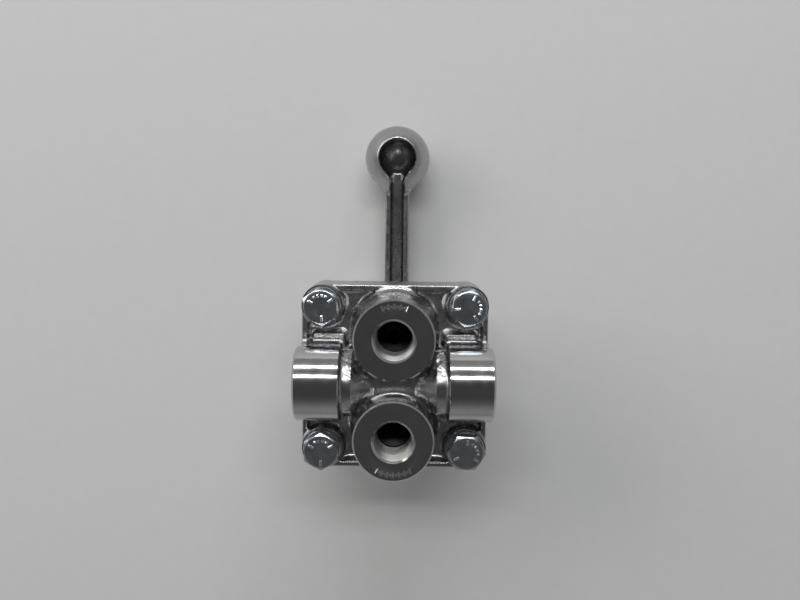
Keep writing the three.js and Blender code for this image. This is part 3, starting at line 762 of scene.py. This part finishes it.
def body_finishes(mesh):
    """Which faces of the body are cast (0), turned (1), tapped and painted darker as shade (2), or deep in
    the passages and painted near-black as shade (3).
    """
    (x, y, z), (_, _, nz) = face_table(mesh)
    faces = (np.abs(z - Z_FACE) < 0.5) | (np.abs(z - Z_JOINT) < 0.05)
    from_side = np.hypot(y, z - Z_SIDE)
    collar_side = (np.abs(x) > COLLAR_X + 0.25) & (np.abs(from_side - SIDE_R) < 0.04)
    collar_face = np.abs(x) > SIDE_FACE - 0.7
    pads = (np.abs(z - Z_PAD) < 0.02) & (nz > 0.9)
    finish = (faces | collar_side | collar_face | pads).astype(int)
    front = np.hypot(x, np.abs(y) - PORT_Y), Z_FACE - z
    side = from_side, SIDE_FACE - np.abs(x)
    for off_axis, depth in (front, side):
        bore = (off_axis < 7) & (depth > 0.02) & (depth < 17)
        finish[bore] = 1
        # painted shade: the tapped wall's colour is darker than the casting's
        finish[bore & (depth > 1)] = 2
        # painted shade: near-black colour deep in each bore
        finish[bore & (depth > 14)] = 3
    # painted shade: the inner faces by the joint get the near-black colour too
    inside = (np.hypot(x, y) < 18) & (z > Z_JOINT + 0.05) & (z < Z_JOINT + 8)
    finish[inside] = 3
    return finish


AS_CAST = 0.08  # how near the distance function's surface an unmachined point is
CREASE = math.radians(32)


def cast_shading(mesh, distance):
    """Shades the faces that are still as cast by the slope of the distance function they came from."""
    points = np.empty(len(mesh.vertices) * 3)
    mesh.vertices.foreach_get("co", points)
    value, slope = slope_of(distance, points.reshape(-1, 3) / MM, step=0.05)
    corners = np.empty(len(mesh.loops), int)
    mesh.loops.foreach_get("vertex_index", corners)
    starts = np.empty(len(mesh.polygons), int)
    mesh.polygons.foreach_get("loop_start", starts)
    face = np.repeat(np.arange(len(starts)), np.diff(np.append(starts, len(corners))))
    as_cast = np.logical_and.reduceat(np.abs(value)[corners] < AS_CAST, starts)
    normals = slope[corners]
    facing = (normals * face_table(mesh)[1].T[face]).sum(1) > 0.5
    normals[~(as_cast[face] & facing)] = 0
    mesh.normals_split_custom_set(normals)


def show(obj, node, body, material, distance=None):
    """Finishes a piece and lets it stand for its CAD node."""
    obj.name = node + "_look"
    obj.data.shade_smooth()
    obj.data.set_sharp_from_angle(angle=CREASE)
    if distance:
        cast_shading(obj.data, distance)
    obj.data.materials.clear()
    obj.data.materials.append(material)
    if body:
        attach(obj, body)
    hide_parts(node)
    return obj


# ---------------------------------------------------------------- assembly
body = show(port_body(), "port_body", "valve_body", CAST, body_distance)
for material in (TURNED, TAPPED_SHADED, PAINTED_SHADE):
    body.data.materials.append(material)
body.data.polygons.foreach_set("material_index", body_finishes(body.data))
show(cover(), "cover", "valve_body", CAST, cover_distance)
show(lever(), "lever", "handle", CAST, lever_distance)

COVER_SCREW, HANDLE_SCREW = 19.05, 15.9  # lengths
STATIONS = [  # which corner, the screw's turn, and the turn of the marks on its head
    (-1, 1, 0.1, 0.08), (1, 1, -0.2, -1.5), (-1, -1, 0.02, 0), (1, -1, 0.5, -1.1),
]
for i, (side, along, turn, marks) in enumerate(STATIONS, 1):
    station = Matrix.Translation((side * SCREW_AT, along * SCREW_AT, Z_PAD)) @ Matrix.Rotation(turn, 4, "Z")
    washer = move(split_washer(), station @ Matrix.Rotation(2.2 * i, 4, "Z"))
    show(washer, f"lock_washer_{i}", "valve_body", ZINC)
    on_washer = station @ Matrix.Translation((0, 0, LOCK_WASHER))
    screw = move(cap_screw("screw", COVER_SCREW, marks - turn), on_washer)
    show(screw, f"cover_screw_{i}", "valve_body", ZINC)

# the lever's own screw and washers, upside down in its recess
upturned = Matrix.Translation((0, 0, RECESS_FLOOR)) @ Matrix.Rotation(math.pi, 4, "Y")
washer = move(hoop("washer", box_section(inner=3.4, outer=7.7, low=0, high=PLAIN_WASHER)), upturned)
show(washer, "handle_washer", "handle", ZINC)
upturned @= Matrix.Translation((0, 0, PLAIN_WASHER))
show(move(split_washer(), upturned), "handle_lock_washer", "handle", ZINC)
upturned @= Matrix.Translation((0, 0, LOCK_WASHER))
show(move(cap_screw("screw", HANDLE_SCREW, 0), upturned), "handle_screw", "handle", ZINC)

show(stem(), "stem", "handle", STEEL)
ring = hoop("ring", round_section(r=5.72, wire=0.65, z=21.7))
show(ring, "stem_seal_ring", "handle", RUBBER)
pin = turned("pin", [(1.3, 9.4), (1.5, 9.6), (1.5, 16.8), (1.3, 17)], SMALL_SEGMENTS, 0, -STOP_R)
show(pin, "stop_pin", "handle", STEEL)
show(rotor_disc(), "rotor_disc", "handle", STEEL)
spring = coil("spring", r=11, wire=0.5, low=27.1, high=31.6, turns=2.4)
show(spring, "rotor_spring", "handle", STEEL)
ring = hoop("ring", round_section(r=21.2, wire=0.85, z=35.9))
show(ring, "cover_seal_ring", "valve_body", RUBBER)
bushing = hoop("bush", box_section(inner=SHAFT_R, outer=7.8, low=14.9, high=20, edge=0.25))
show(bushing, "stem_bushing", "valve_body", BRONZE)
thrust = hoop("thrust", box_section(inner=6.5, outer=12.2, low=23.55, high=24.35, edge=0.1))
show(thrust, "thrust_washer", "valve_body", NYLON)
show(ball("ball", r=2.38, y=TRACK_R, z=15.53), "detent_ball", "detent", STEEL)

spring = shifted(coil("spring", r=1.75, wire=0.3, low=18.04, high=22.07, turns=3.5), y=TRACK_R)
show(spring, "detent_spring", None, STEEL)
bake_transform(spring)

# ---------------------------------------------------------------- camera, floor and light
SENSOR, LENS = 36, 35.15
CAMERA_AT = (2.595, 53.648, 301.942)
CAMERA_TURN = (
    (0.99993, -0.01100, 0.00400),
    (0.01050, 0.99412, 0.10779),
    (-0.00516, -0.10774, 0.99417),
)
camera_data = bpy.data.cameras.new("camera")
camera = bpy.data.objects.new("camera", camera_data)
bpy.context.scene.collection.objects.link(camera)
bpy.context.scene.camera = camera
camera_data.sensor_width = SENSOR
camera_data.lens = LENS
camera_data.clip_start = 0.01
camera.matrix_world = Matrix.Translation(Vector(CAMERA_AT) * MM) @ Matrix(CAMERA_TURN).to_4x4()

FLOOR_HALF, FLOOR_GAP = 2500, 0.02
floor = block("floor", (-FLOOR_HALF, -FLOOR_HALF, -2), (FLOOR_HALF, FLOOR_HALF, -FLOOR_GAP))
floor.data.materials.append(FLOOR)

# a room that is lit from its sides and dark overhead
SIDES_LIGHT, OVERHEAD_LIGHT = 0.30, 0.07
world = bpy.data.worlds.new("world")
bpy.context.scene.world = world
world.use_nodes = True
nodes, links = world.node_tree.nodes, world.node_tree.links
direction = nodes.new("ShaderNodeTexCoord")
axes = nodes.new("ShaderNodeSeparateXYZ")
links.new(direction.outputs["Generated"], axes.inputs["Vector"])
dim = nodes.new("ShaderNodeMapRange")
dim.interpolation_type = "SMOOTHSTEP"
dim.inputs["From Min"].default_value = 0.15
dim.inputs["From Max"].default_value = 0.93
dim.inputs["To Min"].default_value = SIDES_LIGHT
dim.inputs["To Max"].default_value = OVERHEAD_LIGHT
links.new(axes.outputs["Z"], dim.inputs["Value"])
links.new(dim.outputs["Result"], nodes["Background"].inputs["Strength"])
nodes["Background"].inputs["Color"].default_value = (1, 0.985, 1, 1)


def lamp(name, way, distance, width, depth, power, color):
    """A rectangular light in metres and watts, facing the valve from a direction."""
    data = bpy.data.lights.new(name, "AREA")
    data.shape = "RECTANGLE"
    data.size, data.size_y = width, depth
    data.energy = power
    data.color = color
    light = bpy.data.objects.new(name, data)
    bpy.context.scene.collection.objects.link(light)
    way = Vector(way).normalized()
    turn = way.to_track_quat("Z", "Y").to_matrix().to_4x4()
    light.matrix_world = Matrix.Translation(way * distance) @ turn


# two narrow lights on the lever's side, which make the bright lines along the side ports' collars
for name, angle, power in (("strip_1", 31, 7), ("strip_2", 60, 8)):
    a = math.radians(angle)
    way = (0, math.sin(a), math.cos(a))
    lamp(name, way, distance=1.6, width=1.3, depth=0.1, power=power, color=(0.97, 1, 1))
lamp("key", (-0.9, 0.6, 0.6), distance=2.2, width=1.6, depth=1.0, power=14, color=(1, 0.99, 0.97))

bpy.context.scene.view_settings.view_transform = "Standard"
